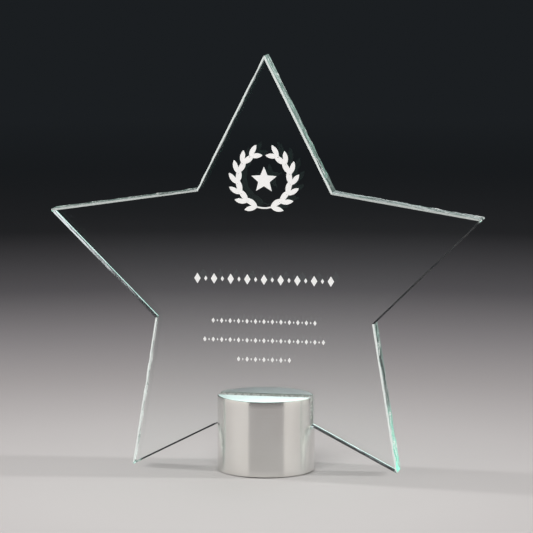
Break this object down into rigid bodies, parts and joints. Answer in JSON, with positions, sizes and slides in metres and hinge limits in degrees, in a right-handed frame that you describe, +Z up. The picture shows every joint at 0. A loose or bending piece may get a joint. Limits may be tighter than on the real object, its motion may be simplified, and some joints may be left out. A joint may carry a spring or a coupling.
{
  "type": "glass star award",
  "caption": "Free-standing award: a clear glass star with chipped edges, etched with a white wreath and ornamental rows, seated in a slot across a round polished aluminium base.",
  "frame": {"origin": "on the table, under the centre of the foot pad", "axes": "+Z up, +X along the star's width, -Y towards the front face that carries the etched ornament"},
  "size_m": [0.2272, 0.0508, 0.2174],
  "materials": {
    "star_glass": "clear polished faces, irregular chipped edges with a faint green cast",
    "base_metal": "turned and polished, fine circumferential tool marks",
    "adhesive": "clear cured adhesive",
    "foot_pad": "matte solid rubber",
    "pad_film": "self-adhesive film",
    "etch_paint": "matte white paint in a frosted etch"
  },
  "bodies": {
    "root": {"star_plate": "star_glass", "base_body": "base_metal", "slot_adhesive": "adhesive", "foot_pad": "foot_pad", "foot_pad_film": "pad_film", "wreath_fill": "etch_paint", "wreath_star_fill": "etch_paint", "title_row_fill": "etch_paint", "upper_row_fill": "etch_paint", "middle_row_fill": "etch_paint", "lower_row_fill": "etch_paint"}
  },
  "joints": []
}
